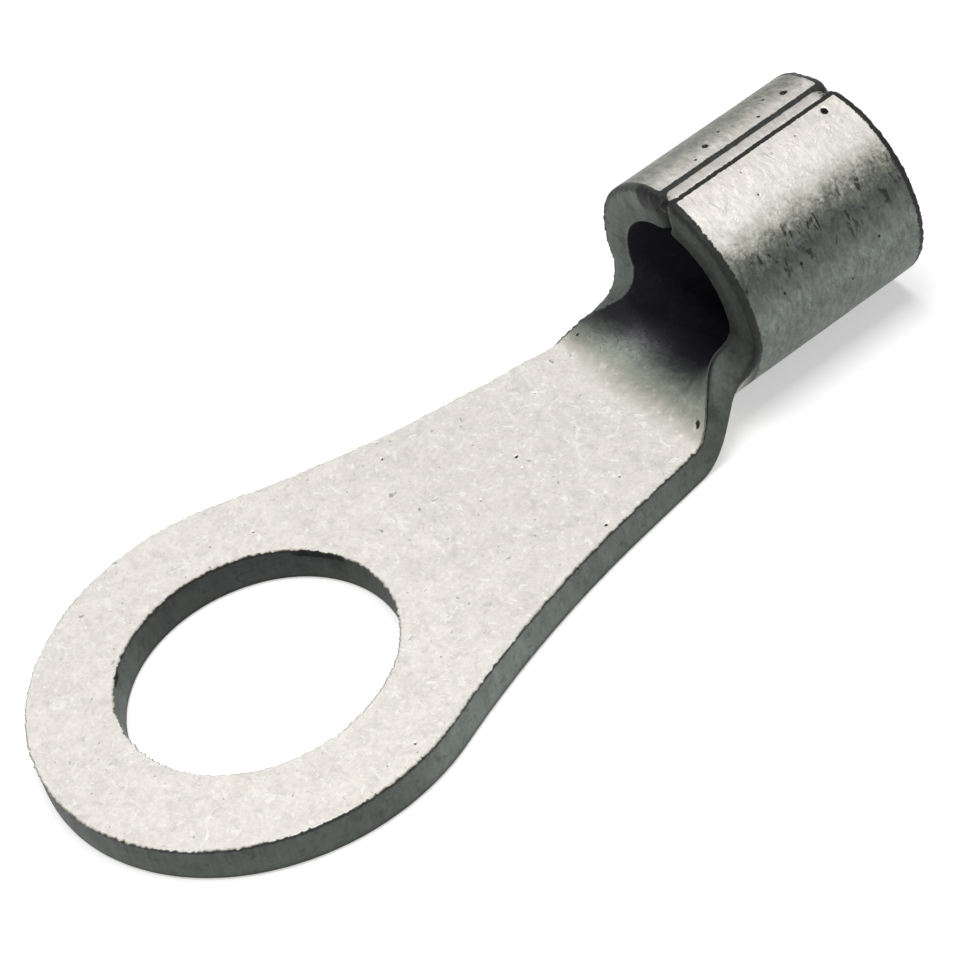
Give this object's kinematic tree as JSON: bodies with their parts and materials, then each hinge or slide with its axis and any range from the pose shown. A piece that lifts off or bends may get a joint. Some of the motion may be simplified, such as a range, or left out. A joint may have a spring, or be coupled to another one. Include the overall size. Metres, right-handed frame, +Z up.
{
  "type": "ring terminal",
  "caption": "Bare crimp ring terminal: flat tapered tongue with a stud hole, curling into a short rolled wire barrel closed by a butt seam.",
  "frame": {"origin": "on the stud hole's axis, at the underside of the tongue", "axes": "+Z up along the stud hole's axis, +X along the tongue towards the wire end of the barrel"},
  "size_m": [0.0298, 0.0138, 0.007],
  "materials": {
    "tinned_copper": "matte tin plating over copper"
  },
  "bodies": {
    "root": {"terminal": "tinned_copper"}
  },
  "joints": []
}
